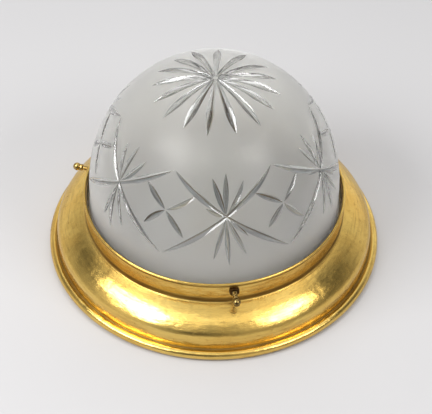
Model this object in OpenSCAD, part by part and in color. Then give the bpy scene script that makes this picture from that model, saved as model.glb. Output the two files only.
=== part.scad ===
/* [Base ring] */
// Diameter over the rolled rim
base_d = 300; // [294:1:316]
// Thickness of the spun brass sheet
sheet_t = 1; // [0.8:0.1:1.2]
// Diameter of the rolled bead round the rim
rim_bead_d = 8.4; // [7.6:0.2:9.2]
// Radius of the groove between the bead and the wall above it
groove_r = 1.2; // [0.8:0.1:1.6]
// How far the wall above the groove stands in from the rim
rim_ledge = 7.4; // [6.8:0.1:8.2]
// Height at which the straight wall turns into the nose
wall_h = 18.6; // [14:0.2:24]
// Radius of the nose at the top of the wall
nose_r = 10.6; // [8:0.2:13]
// Angle of the face where the nose meets the cushion curve
nose_angle = 45; // [38:1:50]
// Radius of the broad cushion curve
cushion_r = 55; // [50:1:70]
// Width of the flat flange on the ceiling side
flange_w = 18; // [15:0.5:24]

/* [Neck] */
// Outside diameter of the neck
neck_d = 233.2; // [228:0.2:238]
// Height of the neck above the step at its foot
neck_h = 23; // [21:0.5:28]
// Radius of the hollow at the foot of the neck
cove_r = 1.6; // [1:0.1:2.4]
// Height of the small riser under the step
riser_h = 0.6; // [0.3:0.1:1.2]
// Diameter of the rolled lip on the neck
lip_bead_d = 2.3; // [2:0.1:3]

/* [Seat ring] */
// Thickness of the seat ring
seat_t = 1; // [0.8:0.1:1.2]
// Depth of the seat below the top of the neck
seat_depth = 17.9; // [17:0.1:19]
// Width of the shelf that carries the glass
shelf_w = 8; // [6:0.5:12]
// Height of the upright leg of the seat ring
leg_h = 14; // [13:0.5:15]

/* [Glass dome] */
// Thickness of the glass
glass_t = 5; // [4:0.25:6]
// Rise of the dome above its straight neck
dome_rise = 121.5; // [90:0.5:140]
// Height of the straight neck of the glass
glass_neck_h = 28.4; // [24:0.2:36]
// How far the lip of the glass stands out
glass_lip_w = 2.5; // [2:0.1:3]
// Height of the lip of the glass
glass_lip_h = 6; // [5:0.25:6.5]
// Gap round the lip of the glass
glass_gap = 0.5; // [0.4:0.1:0.8]

/* [Thumb screws] */
// Thread diameter of a thumb screw
screw_d = 4; // [3.5:0.1:4.5]
// Diameter of the ball head
ball_d = 7.3; // [6:0.1:9]
// Distance of the ball's centre from the neck
ball_out = 13.9; // [12.5:0.1:18]
// Diameter of the collar beside the ball
collar_d = 6; // [5.4:0.1:6.8]
// Length of that collar
collar_l = 3; // [2:0.1:4]
// Diameter of a boss on the neck
boss_d = 9.2; // [8.6:0.1:10.5]
// How far a boss stands off the neck
boss_l = 2.4; // [2:0.1:3.2]
// Diameter of the boss's shank in the wall
shank_d = 6.4; // [6:0.1:7]
// Length of the soft tip
tip_l = 1.2; // [0.8:0.1:1.4]
// Gap between a tip and the glass
tip_gap = 0.4; // [0.3:0.05:0.5]
// Direction of the first screw, in degrees
screw_1_angle = -81; // [-95:1:-70]
// Direction of the second screw, in degrees
screw_2_angle = 41.5; // [30:0.5:55]
// Direction of the third screw, in degrees
screw_3_angle = 164; // [150:0.5:175]

/* [Mounting strap] */
// Width of the strap
strap_w = 26; // [24:0.5:32]
// Thickness of the strap
strap_t = 3; // [2.5:0.1:4]
// Distance between the two ceiling slots
slot_spacing = 160; // [150:1:180]
// Length of a ceiling slot, end to end
slot_l = 14; // [10:0.5:18]
// Width of a ceiling slot
slot_w = 5.5; // [4.5:0.1:6.5]
// Diameter of a rivet
rivet_d = 4; // [3:0.1:5]
// Diameter of a rivet's heads
rivet_head_d = 7; // [6:0.1:8]

/* [Lamp holder] */
// Diameter of the porcelain foot
foot_d = 50; // [50:0.5:54]
// Height of the porcelain foot
foot_h = 12; // [12:0.2:15]
// Diameter of the porcelain barrel
barrel_d = 35; // [34:0.2:35.4]
// Height of the barrel above the foot
barrel_h = 27; // [24:0.5:30]
// Thickness of the screw shell
shell_t = 0.5; // [0.4:0.1:0.7]
// Distance of the two fixing screws from the barrel
fixing_x = 3.3; // [3.3:0.1:3.9]
// Diameter of the fixing screws
fixing_d = 4; // [3.5:0.1:4]
// Length of a terminal bar
bar_l = 18.8; // [18.4:0.1:19.4]
// Width of a terminal bar
bar_w = 6; // [5.6:0.1:6.2]
// Height of a terminal bar
bar_h = 7; // [6:0.1:7.2]
// Distance of a terminal bar from the middle plane
bar_y = 6; // [5.8:0.1:6.4]
// Diameter of the screws in the bars
bar_screw_d = 2.5; // [2:0.1:2.6]
// Diameter of those screws' heads
bar_head_d = 4; // [3.6:0.1:4.2]
// Height of the centre contact's spring
spring_h = 4; // [3:0.1:5]

/* [Terminal block] */
// Distance of the block from the centre
block_x = 50; // [48:0.5:54]
// Size of the block along the strap
block_l = 17; // [15:0.5:19]
// Height of the block
block_h = 14; // [13:0.5:18]
// Distance between neighbouring ways
way_pitch = 10; // [9.6:0.1:11]
// Outside diameter of a sleeve
sleeve_d = 5; // [4.4:0.1:5.2]
// Bore of a sleeve
sleeve_bore_d = 2; // [1.6:0.1:2.2]
// Diameter of the small screws
small_screw_d = 3; // [2.5:0.1:3]
// Diameter of the small screws' heads
small_head_d = 4.8; // [4.4:0.1:5]
// Diameter of a lead over its insulation
lead_d = 2.6; // [2.2:0.1:3]
// Distance of the earth screw from the centre
earth_x = 32; // [31:0.2:33]

/* [Bulb] */
// Diameter of the bulb
bulb_d = 60; // [50:1:70]
// Length of the bulb
bulb_l = 105; // [98:1:118]
// Diameter of the cap over its thread
cap_d = 26.2; // [25.6:0.1:26.6]
// Height of the cap
cap_h = 22; // [20:0.5:24]
// Thickness of the bulb's glass
bulb_t = 0.8; // [0.6:0.1:1.2]
// Radius of the filament's ring
filament_r = 13; // [10:0.5:16]
// Diameter of the filament and its wires
wire_d = 0.8; // [0.6:0.1:1]

/* [Hidden] */
$fn = 96;

// Clearances
run_fit = 0.05;
loose_fit = 0.2;
cut = 1;

// Steps along a curve
fine = 24;
coarse = 10;

// Base ring
base_r = base_d / 2;
bead_r = rim_bead_d / 2;
bead_at = [base_r - bead_r, bead_r];
wall_r = base_r - rim_ledge;
groove_x = wall_r + groove_r;
groove_rise = sqrt(pow(bead_r + groove_r, 2) - pow(bead_at[0] - groove_x, 2));
groove_at = [groove_x, bead_r + groove_rise];
groove_angle = atan2(groove_rise, groove_x - bead_at[0]);
nose_at = [wall_r - nose_r, wall_h];
cushion_at = nose_at - (cushion_r - nose_r) * [cos(nose_angle), sin(nose_angle)];
flange_r = bead_at[0] - flange_w;

// Neck
neck_r = neck_d / 2;
neck_in_r = neck_r - sheet_t;
step_r = neck_r + cove_r;
step_angle = acos((step_r - cushion_at[0]) / cushion_r);
cushion_top = cushion_at[1] + cushion_r * sin(step_angle);
step_z = cushion_top + riser_h;
neck_top = step_z + neck_h;
lip_r = lip_bead_d / 2;
lip_at = [neck_r, neck_top - lip_r];
lip_angle = 180 + asin(sqrt(lip_r * lip_r - sheet_t * sheet_t) / lip_r);
inner_angle = acos((neck_in_r - cushion_at[0]) / (cushion_r - sheet_t));

// Seat ring and glass
seat_z = neck_top - seat_depth;
leg_r = neck_in_r - seat_t;
shelf_r = neck_in_r - shelf_w;
glass_lip_r = leg_r - glass_gap;
glass_r = glass_lip_r - glass_lip_w;
glass_in_r = glass_r - glass_t;
dome_z = seat_z + glass_neck_h;
lip_round = glass_lip_w * 0.5;

// Thumb screws
screw_angles = [screw_1_angle, screw_2_angle, screw_3_angle];
screw_gap = 0.6;
screw_z = seat_z + glass_lip_h + screw_gap + screw_d / 2;
tip_in = glass_r + tip_gap;
ball_x = neck_r + ball_out;
ball_r = ball_d / 2;
collar_x = ball_x - ball_r * 0.8 - collar_l;
tip_d = screw_d - 1;

// Strap
strap_z = sheet_t;
strap_top = strap_z + strap_t;
strap_gap = 1;
strap_half = sqrt(pow(wall_r - sheet_t - strap_gap, 2) - pow(strap_w / 2, 2));
rivet_x = (flange_r + strap_half) / 2;
rivet_head_h = 1.8;

// Lamp holder
floor_z = strap_top + foot_h;
shell_in_r = cap_d / 2 + 2 * run_fit;
shell_r = shell_in_r + shell_t;
shell_drop = 5;
shell_h = barrel_h - shell_drop;
shell_flange_w = 4.1;
shell_flange_r = shell_r - shell_flange_w;
cavity_r = shell_r + loose_fit;
bar_out = 3.3;
bar_end = barrel_d / 2 + bar_out;
bar_x = bar_end - bar_l;
bar_z = strap_top + 2;
bar_floor = bar_z + bar_h;
lead_z = bar_z + bar_h / 2;
small_head_h = 1.8;
screw_reach = 5;
head_gap = 0.16;
contact_clear = 0.6;
shell_screw_y = bar_y + 0.4;
shell_screw_ring = shell_in_r - bar_head_d / 2 - head_gap;
shell_screw_at = [sqrt(pow(shell_screw_ring, 2) - pow(shell_screw_y, 2)), shell_screw_y];
contact_screw_y = bar_y - 1.2;
contact_screw_ring = shell_flange_r - contact_clear - bar_head_d / 2 - 3 * head_gap;
contact_screw_at = [
    sqrt(pow(contact_screw_ring, 2) - pow(contact_screw_y, 2)), -contact_screw_y
];
clamp_x = bar_end - 1.9;
fixing_at = barrel_d / 2 + fixing_x;
fixing_head_d = fixing_d * 1.55;
fixing_head_h = 2.4;
spring_w = 4.4;
spring_t = 0.5;
contact_gap = 0.1;

// Terminal block
way_z = strap_top + block_h * 0.46;
block_w = 3 * way_pitch + 2;
sleeve_l = block_l - 1;
sleeve_end = block_x - sleeve_l / 2;
clamp_off = sleeve_l * 0.3;
block_screw_y = way_pitch / 2;
earth_head_d = 7;
earth_head_h = 2.6;
washer_t = 0.8;
washer_d = 9;
lead_gap = 0.2;

// Bulb, with heights above its own lowest point
bulb_z = floor_z + spring_h + spring_t + contact_gap;
contact_d = 8.4;
contact_h = 1.5;
cap_r = cap_d / 2;
cap_t = 0.4;
cap_z = contact_h + 4;
cap_top = cap_z + cap_h;
plug_h = 2;
bulb_r = bulb_d / 2;
globe_z = bulb_l - bulb_r;
globe_angle = -38;
bulb_neck_r = cap_r - cap_t - run_fit;
bulb_foot = cap_top - 7;
flare_t = 0.8;
stem_r = 3.4;
stem_drop = 28;
stem_top = globe_z - stem_drop;
stem_flare_w = 3;
stem_taper = 5;
rod_r = 1.2;
rod_l = 2;
wire_start = stem_top - 8;
filament_gap_angle = 60;
filament_z = globe_z - 2;
button_r = 2.4;

brass = "#cda04b";
dark_brass = "#3a2612";
steel = "#9aa0a4";
porcelain = "#efece4";

function arc(at, r, from, to, steps) =
    [for (i = [0:steps]) let (a = from + (to - from) * i / steps) at + r * [cos(a), sin(a)]];

function ellipse(z, rx, rz, from, to, steps) =
    [for (i = [0:steps]) let (a = from + (to - from) * i / steps) [rx * cos(a), z + rz * sin(a)]];

function bezier(p, t) =
    pow(1 - t, 3) * p[0] + 3 * t * pow(1 - t, 2) * p[1]
    + 3 * t * t * (1 - t) * p[2] + pow(t, 3) * p[3];

function curve(p, steps) = [for (i = [0:steps]) bezier(p, i / steps)];

// A round tube along a curve that never runs upright
module tube(path, d, sides = 10) {
    last = len(path) - 1;
    rings = [for (i = [0:last])
        let (
            ahead = path[min(i + 1, last)] - path[max(i - 1, 0)],
            t = ahead / norm(ahead),
            side = cross(t, [0, 0, 1]) / norm(cross(t, [0, 0, 1])),
            up = cross(side, t)
        )
        for (k = [0:sides - 1])
            path[i] + d / 2 * (cos(360 * k / sides) * side + sin(360 * k / sides) * up)];
    walls = [for (i = [0:last - 1], k = [0:sides - 1])
        let (a = i * sides + k, b = i * sides + (k + 1) % sides)
        each [[a, b, b + sides], [a, b + sides, a + sides]]];
    near_cap = [for (k = [1:sides - 2]) [0, k + 1, k]];
    far_cap = [for (k = [1:sides - 2]) [0, k, k + 1] + last * sides * [1, 1, 1]];
    polyhedron(rings, concat(walls, near_cap, far_cap), convexity = 4);
}

// A straight wire between two points
module wire(a, b, d) {
    run = b - a;
    translate(a)
        rotate([0, acos(run[2] / norm(run)), atan2(run[1], run[0])])
            cylinder(d = d, h = norm(run), $fn = 16);
}

// Puts its children on a thumb screw's axis, with +Z pointing outwards
module on_screw_axis(angle) {
    rotate([0, 0, angle])
        translate([0, 0, screw_z])
            rotate([0, 90, 0])
                children();
}

// A pan-head screw with its head's underside at z = 0 and a straight slot
module small_screw(d, head_d, head_h, reach) {
    difference() {
        union() {
            translate([0, 0, -reach])
                cylinder(d = d, h = reach + head_h / 2);
            cylinder(d = head_d, h = head_h);
        }
        translate([-head_d, -d / 10, head_h * 0.55])
            cube([head_d * 2, d / 5, head_h]);
    }
}

module base_profile() {
    bead_side = groove_angle;
    groove_end = groove_angle + 180;
    outside = concat(
        arc(lip_at, lip_r, lip_angle, -90, fine),
        arc([step_r, step_z + cove_r], cove_r, 180, 270, coarse),
        arc(cushion_at, cushion_r, step_angle, nose_angle, fine),
        arc(nose_at, nose_r, nose_angle, 0, coarse),
        arc(groove_at, groove_r, 180, groove_end, coarse),
        arc(bead_at, bead_r, bead_side, -90, fine),
        [[flange_r, 0]]
    );
    inside = concat(
        [[flange_r, sheet_t]],
        arc(bead_at, bead_r - sheet_t, -90, bead_side, fine),
        arc(groove_at, groove_r + sheet_t, groove_end, 180, coarse),
        arc(nose_at, nose_r - sheet_t, 0, nose_angle, coarse),
        arc(cushion_at, cushion_r - sheet_t, nose_angle, inner_angle, fine)
    );
    polygon(concat(outside, inside));
}

module base_ring() {
    color(brass)
        difference() {
            rotate_extrude() base_profile();
            for (angle = screw_angles)
                on_screw_axis(angle)
                    translate([0, 0, leg_r - cut])
                        cylinder(d = shank_d + 2 * run_fit, h = neck_r - leg_r + 2 * cut);
            for (s = [-1, 1])
                translate([s * rivet_x, 0, 0])
                    rivet_hole();
        }
}

// The flange is dished for the rivet's flush lower head
module rivet_hole() {
    cylinder(d1 = rivet_head_d + 2 * run_fit, d2 = rivet_d + 2 * run_fit, h = sheet_t);
    translate([0, 0, -cut])
        cylinder(d = rivet_d + 2 * run_fit, h = sheet_t + 2 * cut);
}

module seat_ring() {
    foot = seat_z - seat_t;
    color(brass)
        difference() {
            rotate_extrude()
                polygon([
                    [shelf_r, foot], [neck_in_r, foot], [neck_in_r, foot + leg_h],
                    [leg_r, foot + leg_h], [leg_r, seat_z], [shelf_r, seat_z]
                ]);
            for (angle = screw_angles)
                on_screw_axis(angle)
                    translate([0, 0, leg_r - cut])
                        cylinder(d = shank_d + 2 * run_fit, h = seat_t + 2 * cut);
        }
}

module screw_bosses() {
    color(dark_brass)
        for (angle = screw_angles)
            difference() {
                union() {
                    difference() {
                        on_screw_axis(angle)
                            translate([0, 0, neck_r - cut])
                                cylinder(d = boss_d, h = boss_l + cut);
                        cylinder(r = neck_r, h = neck_top);
                    }
                    on_screw_axis(angle)
                        translate([0, 0, leg_r])
                            cylinder(d = shank_d, h = neck_r - leg_r + boss_l / 2);
                }
                on_screw_axis(angle)
                    translate([0, 0, leg_r - cut])
                        cylinder(d = screw_d + 2 * run_fit, h = neck_r + boss_l);
            }
}

module thumb_screw(angle) {
    start = tip_in + tip_l + run_fit;
    color(brass)
        on_screw_axis(angle) {
            translate([0, 0, start])
                cylinder(d = screw_d, h = ball_x - start);
            translate([0, 0, collar_x])
                cylinder(d1 = screw_d, d2 = collar_d, h = collar_l * 0.4);
            translate([0, 0, collar_x + collar_l * 0.4])
                cylinder(d = collar_d, h = collar_l * 0.6);
            translate([0, 0, ball_x])
                sphere(d = ball_d);
        }
}

module screw_tip(angle) {
    color("#6b4a2f")
        on_screw_axis(angle)
            translate([0, 0, tip_in])
                cylinder(d = tip_d, h = tip_l);
}

module thumb_screw_1() { thumb_screw(screw_angles[0]); }
module thumb_screw_2() { thumb_screw(screw_angles[1]); }
module thumb_screw_3() { thumb_screw(screw_angles[2]); }
module screw_tip_1() { screw_tip(screw_angles[0]); }
module screw_tip_2() { screw_tip(screw_angles[1]); }
module screw_tip_3() { screw_tip(screw_angles[2]); }

module glass_dome() {
    lip_top = seat_z + glass_lip_h;
    lip_edge = glass_lip_r - lip_round;
    color("#b4b1aa", 0.8)
        rotate_extrude()
            polygon(concat(
                [[glass_in_r, seat_z]],
                arc([lip_edge, seat_z + lip_round], lip_round, -90, 0, coarse),
                arc([lip_edge, lip_top - lip_round], lip_round, 0, 90, coarse),
                [[glass_r, lip_top]],
                ellipse(dome_z, glass_r, dome_rise, 0, 90, 2 * fine),
                ellipse(dome_z, glass_in_r, dome_rise - glass_t, 90, 0, 2 * fine)
            ));
}

module mounting_strap() {
    color(steel)
        difference() {
            translate([-strap_half, -strap_w / 2, strap_z])
                cube([2 * strap_half, strap_w, strap_t]);
            for (s = [-1, 1]) {
                strap_hole(s * rivet_x, 0, rivet_d + 2 * run_fit);
                strap_hole(s * fixing_at, 0, fixing_d + 2 * run_fit);
                strap_hole(block_x, s * block_screw_y, small_screw_d + 2 * run_fit);
                strap_slot(s * slot_spacing / 2);
            }
            strap_hole(earth_x, 0, fixing_d + 2 * run_fit);
        }
}

module strap_hole(x, y, d) {
    translate([x, y, strap_z - cut])
        cylinder(d = d, h = strap_t + 2 * cut);
}

module strap_slot(x) {
    straight = slot_l - slot_w;
    strap_hole(x - straight / 2, 0, slot_w);
    strap_hole(x + straight / 2, 0, slot_w);
    translate([x - straight / 2, -slot_w / 2, strap_z - cut])
        cube([straight, slot_w, strap_t + 2 * cut]);
}

module strap_rivets() {
    color(brass)
        for (s = [-1, 1])
            translate([s * rivet_x, 0, 0]) {
                cylinder(d1 = rivet_head_d, d2 = rivet_d, h = sheet_t);
                cylinder(d = rivet_d, h = strap_top + rivet_head_h / 2);
                translate([0, 0, strap_top])
                    cylinder(d1 = rivet_head_d, d2 = rivet_d, h = rivet_head_h);
            }
}

module holder_body() {
    color(porcelain)
        difference() {
            union() {
                translate([0, 0, strap_top])
                    cylinder(d = foot_d, h = foot_h - 1);
                translate([0, 0, floor_z - 1])
                    cylinder(d1 = foot_d, d2 = foot_d - 2, h = 1);
                translate([0, 0, floor_z - 1])
                    cylinder(d = barrel_d, h = barrel_h);
                translate([0, 0, floor_z + barrel_h - 1])
                    cylinder(d1 = barrel_d, d2 = barrel_d - 2, h = 1);
            }
            translate([0, 0, floor_z])
                cylinder(r = cavity_r, h = barrel_h + cut);
            for (s = [-1, 1]) {
                translate([s * fixing_at, 0, strap_top - cut])
                    cylinder(d = fixing_d + 2 * run_fit, h = foot_h + 2 * cut);
                translate([
                    bar_x - loose_fit, s * bar_y - bar_w / 2 - loose_fit, bar_z
                ])
                    cube([foot_d, bar_w + 2 * loose_fit, bar_h]);
                body_screw_hole([clamp_x, s * bar_y]);
            }
            body_screw_hole(contact_screw_at);
            body_screw_hole(shell_screw_at);
        }
}

module body_screw_hole(at) {
    translate([at[0], at[1], bar_floor - cut])
        cylinder(d = bar_screw_d + 2 * run_fit, h = foot_h);
}

module holder_shell() {
    color(brass)
        difference() {
            rotate_extrude()
                polygon([
                    [shell_flange_r, floor_z], [shell_r, floor_z], [shell_r, floor_z + shell_h],
                    [shell_in_r, floor_z + shell_h], [shell_in_r, floor_z + shell_t],
                    [shell_flange_r, floor_z + shell_t]
                ]);
            translate([shell_screw_at[0], shell_screw_at[1], floor_z - cut])
                cylinder(d = bar_screw_d + 2 * run_fit, h = shell_t + 2 * cut);
        }
}

// A leaf on the floor that turns up and back over the middle
module centre_contact() {
    half = spring_w / 2;
    foot_x = contact_screw_at[0] - half;
    foot_y = contact_screw_at[1] - half;
    color(brass) {
        difference() {
            intersection() {
                translate([foot_x, foot_y, floor_z])
                    cube([spring_w, half - foot_y, spring_t]);
                cylinder(r = shell_flange_r - contact_clear, h = floor_z + spring_h);
            }
            translate([contact_screw_at[0], contact_screw_at[1], floor_z - cut])
                cylinder(d = bar_screw_d + 2 * run_fit, h = spring_t + 2 * cut);
        }
        translate([foot_x, -half, floor_z])
            cube([spring_t, spring_w, spring_h + spring_t]);
        translate([-half, -half, floor_z + spring_h])
            cube([foot_x + half + spring_t, spring_w, spring_t]);
    }
}

module terminal_bars() {
    color(brass)
        for (s = [-1, 1])
            difference() {
                translate([bar_x, s * bar_y - bar_w / 2, bar_z])
                    cube([bar_l, bar_w, bar_h - run_fit]);
                translate([clamp_x, s * bar_y, bar_floor - screw_reach])
                    cylinder(d = bar_screw_d + 2 * run_fit, h = bar_h);
                translate(s < 0 ? contact_screw_at : shell_screw_at)
                    translate([0, 0, bar_floor - screw_reach])
                        cylinder(d = bar_screw_d + 2 * run_fit, h = bar_h);
            }
}

module bar_screws() {
    reach = floor_z - bar_floor + screw_reach;
    color(brass) {
        for (s = [-1, 1])
            translate([clamp_x, s * bar_y, floor_z])
                small_screw(bar_screw_d, bar_head_d, small_head_h, reach - run_fit);
        translate([contact_screw_at[0], contact_screw_at[1], floor_z + spring_t])
            small_screw(bar_screw_d, bar_head_d, small_head_h, reach);
        translate([shell_screw_at[0], shell_screw_at[1], floor_z + shell_t])
            small_screw(bar_screw_d, bar_head_d, small_head_h, reach);
    }
}

module holder_screws() {
    color(steel)
        for (s = [-1, 1])
            translate([s * fixing_at, 0, floor_z])
                small_screw(fixing_d, fixing_head_d, fixing_head_h, foot_h + strap_t);
}

module terminal_block() {
    color(porcelain)
        difference() {
            translate([block_x - block_l / 2, -block_w / 2, strap_top])
                cube([block_l, block_w, block_h]);
            for (way = [-1:1])
                translate([block_x - block_l, way * way_pitch, way_z])
                    rotate([0, 90, 0])
                        cylinder(d = sleeve_d + 2 * run_fit, h = 2 * block_l);
            for (way = [-1:1], s = [-1, 1])
                translate([block_x + s * clamp_off, way * way_pitch, way_z])
                    cylinder(d = small_head_d + 2 * loose_fit, h = block_h);
            for (s = [-1, 1]) {
                translate([block_x, s * block_screw_y, strap_top - cut])
                    cylinder(d = small_screw_d + 2 * run_fit, h = block_h + 2 * cut);
            }
        }
}

module terminal_sleeves() {
    color(brass)
        for (way = [-1:1])
            translate([sleeve_end, way * way_pitch, way_z])
                difference() {
                    rotate([0, 90, 0])
                        cylinder(d = sleeve_d, h = sleeve_l);
                    translate([-cut, 0, 0])
                        rotate([0, 90, 0])
                            cylinder(d = sleeve_bore_d, h = sleeve_l + 2 * cut);
                    for (s = [-1, 1])
                        translate([sleeve_l / 2 + s * clamp_off, 0, 0])
                            cylinder(d = small_screw_d - 1 + 2 * run_fit, h = sleeve_d);
                }
}

module sleeve_screws() {
    seat = sleeve_d / 2;
    color(steel)
        for (way = [-1:1], s = [-1, 1])
            translate([block_x + s * clamp_off, way * way_pitch, way_z + seat])
                small_screw(small_screw_d - 1, small_head_d - 1, small_head_h, seat);
}

module block_screws() {
    color(steel)
        for (s = [-1, 1])
            translate([block_x, s * block_screw_y, strap_top + block_h])
                small_screw(small_screw_d, small_head_d, small_head_h, block_h + strap_t);
}

// A lead from the terminal block's way to a terminal bar
module holder_lead(side) {
    from = [sleeve_end - lead_gap, side * way_pitch, way_z];
    to = [bar_end + lead_gap, side * bar_y, lead_z];
    lean = (from[0] - to[0]) / 2;
    tube(curve([to, to + [lean, 0, 0], from - [lean, 0, 0], from], coarse), lead_d);
}

module live_lead() { color("#6f4a2a") holder_lead(-1); }
module neutral_lead() { color("#2f5f9a") holder_lead(1); }

module earth_lead() {
    from = [sleeve_end - lead_gap, 0, way_z];
    to = [earth_x + washer_d / 2 - 1, 0, strap_top + washer_t + lead_d / 2];
    color("#4f8a3a")
        tube(curve([to, to + [2, 0, 0], from - [4, 0, 0], from], coarse), lead_d);
}

module earth_screw() {
    color(brass)
        translate([earth_x, 0, strap_top + washer_t])
            small_screw(fixing_d, earth_head_d - 1.6, earth_head_h, strap_t + washer_t);
}

module earth_washer() {
    color(steel)
        translate([earth_x, 0, strap_top])
            difference() {
                cylinder(d = washer_d, h = washer_t);
                translate([0, 0, -cut])
                    cylinder(d = fixing_d + 2 * run_fit, h = washer_t + 2 * cut);
            }
}

module bulb_glass() {
    globe_edge = [bulb_r * cos(globe_angle), globe_z + bulb_r * sin(globe_angle)];
    pull = (globe_edge[1] - cap_top) * 0.5;
    neck = curve([
        [bulb_neck_r, cap_top], [bulb_neck_r, cap_top + pull],
        globe_edge - pull * [-sin(globe_angle), cos(globe_angle)], globe_edge
    ], fine);
    outer = concat(
        [[bulb_neck_r, bulb_foot]], neck,
        arc([0, globe_z], bulb_r, globe_angle + 2, 90, fine)
    );
    inner = concat(
        arc([0, globe_z], bulb_r - bulb_t, 90, globe_angle, fine),
        [for (i = [fine - 1:-1:0]) neck[i] - [bulb_t, 0]],
        [[bulb_neck_r - bulb_t, bulb_foot]]
    );
    color("#f4f0e6", 0.5)
        translate([0, 0, bulb_z])
            rotate_extrude()
                polygon(concat(outer, inner));
}

module bulb_cap() {
    color(steel)
        translate([0, 0, bulb_z])
            rotate_extrude()
                translate([cap_r - cap_t, cap_z])
                    square([cap_t, cap_h]);
}

module bulb_insulator() {
    plug_r = cap_r - cap_t - run_fit;
    color("#22201e")
        translate([0, 0, bulb_z])
            rotate_extrude()
                polygon([
                    [0, contact_h], [contact_d / 2 + 1, contact_h], [cap_r - 1.6, cap_z - 0.8],
                    [cap_r - 0.8, cap_z], [plug_r, cap_z], [plug_r, cap_z + plug_h],
                    [0, cap_z + plug_h]
                ]);
}

module bulb_contact() {
    color("#b9b4a8")
        translate([0, 0, bulb_z])
            cylinder(d1 = contact_d - 1.6, d2 = contact_d, h = contact_h);
}

module bulb_stem() {
    flare_z = bulb_foot - flare_t;
    color("#dfe6e2", 0.6)
        translate([0, 0, bulb_z])
            rotate_extrude()
                polygon([
                    [0, flare_z], [bulb_neck_r, flare_z], [bulb_neck_r, bulb_foot],
                    [stem_r + stem_flare_w, bulb_foot], [stem_r, bulb_foot + stem_taper],
                    [stem_r, stem_top - rod_l - stem_flare_w], [rod_r, stem_top - 1 - rod_l],
                    [rod_r, stem_top - 1], [button_r, stem_top - 0.6],
                    [button_r, stem_top], [0, stem_top]
                ]);
}

module bulb_wires() {
    ends = [filament_gap_angle / 2, 360 - filament_gap_angle / 2];
    stem_side = stem_r + wire_d / 2 + run_fit;
    hook_r = button_r - wire_d;
    color(steel)
        translate([0, 0, bulb_z]) {
            for (a = ends)
                wire(
                    [stem_side * cos(a), stem_side * sin(a), wire_start],
                    [filament_r * cos(a), filament_r * sin(a), filament_z - wire_d / 2],
                    wire_d
                );
            for (a = [120, 180, 240])
                wire(
                    [hook_r * cos(a), hook_r * sin(a), stem_top + wire_d / 4 + run_fit],
                    [filament_r * cos(a), filament_r * sin(a), filament_z - wire_d / 2],
                    wire_d
                );
        }
}

module bulb_filament() {
    color("#4a4642")
        translate([0, 0, bulb_z + filament_z])
            rotate([0, 0, filament_gap_angle / 2])
                rotate_extrude(angle = 360 - filament_gap_angle)
                    translate([filament_r, 0])
                        circle(d = wire_d);
}

base_ring();
seat_ring();
screw_bosses();
thumb_screw_1();
thumb_screw_2();
thumb_screw_3();
screw_tip_1();
screw_tip_2();
screw_tip_3();
glass_dome();
mounting_strap();
strap_rivets();
holder_body();
holder_shell();
centre_contact();
terminal_bars();
bar_screws();
holder_screws();
terminal_block();
terminal_sleeves();
sleeve_screws();
block_screws();
live_lead();
neutral_lead();
earth_lead();
earth_screw();
earth_washer();
bulb_glass();
bulb_cap();
bulb_insulator();
bulb_contact();
bulb_stem();
bulb_wires();
bulb_filament();
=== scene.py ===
import math
import bpy
import numpy as np
from mathutils import Matrix, Vector


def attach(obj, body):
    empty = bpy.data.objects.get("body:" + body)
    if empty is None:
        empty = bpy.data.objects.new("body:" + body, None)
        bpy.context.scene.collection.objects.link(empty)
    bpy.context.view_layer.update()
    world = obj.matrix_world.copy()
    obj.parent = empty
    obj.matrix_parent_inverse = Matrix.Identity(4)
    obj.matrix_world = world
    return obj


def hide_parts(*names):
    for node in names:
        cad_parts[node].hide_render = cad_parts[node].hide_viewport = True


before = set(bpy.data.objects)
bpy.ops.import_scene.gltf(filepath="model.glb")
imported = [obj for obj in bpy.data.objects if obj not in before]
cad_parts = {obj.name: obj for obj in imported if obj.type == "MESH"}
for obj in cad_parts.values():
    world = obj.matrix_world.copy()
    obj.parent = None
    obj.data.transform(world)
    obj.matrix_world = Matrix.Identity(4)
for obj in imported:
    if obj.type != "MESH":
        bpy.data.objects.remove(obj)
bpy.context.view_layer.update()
mm = 0.001
tau = 2 * math.pi
print("frame loaded")


# Camera, fitted to the photograph: degrees, mm for distance and aim, pixels for focal length and width
camera = {
    "elevation": 45.26, "distance": 1782.5, "focal": 1968.4, "width": 432,
    "aim": (1.763, 0.0, 39.16), "roll": 0.664, "sensor": 36, "clip": (0.05, 50),
}


def placeCamera(s):
    e, roll = math.radians(s["elevation"]), math.radians(s["roll"])
    ahead = Vector((0, math.cos(e), -math.sin(e)))
    right, up = Vector((1, 0, 0)), Vector((0, math.sin(e), math.cos(e)))
    x = right * math.cos(roll) + up * math.sin(roll)
    y = up * math.cos(roll) - right * math.sin(roll)
    data = bpy.data.cameras.new("camera")
    data.sensor_fit = "HORIZONTAL"
    data.sensor_width = s["sensor"]
    data.lens = s["sensor"] * s["focal"] / s["width"]
    data.clip_start, data.clip_end = s["clip"]
    obj = bpy.data.objects.new("camera", data)
    bpy.context.collection.objects.link(obj)
    at = (Vector(s["aim"]) - ahead * s["distance"]) * mm
    obj.matrix_world = Matrix.Translation(at) @ Matrix((x, y, -ahead)).transposed().to_4x4()
    bpy.context.scene.camera = obj


placeCamera(camera)
bpy.context.scene.view_settings.view_transform = "Standard"


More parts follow.
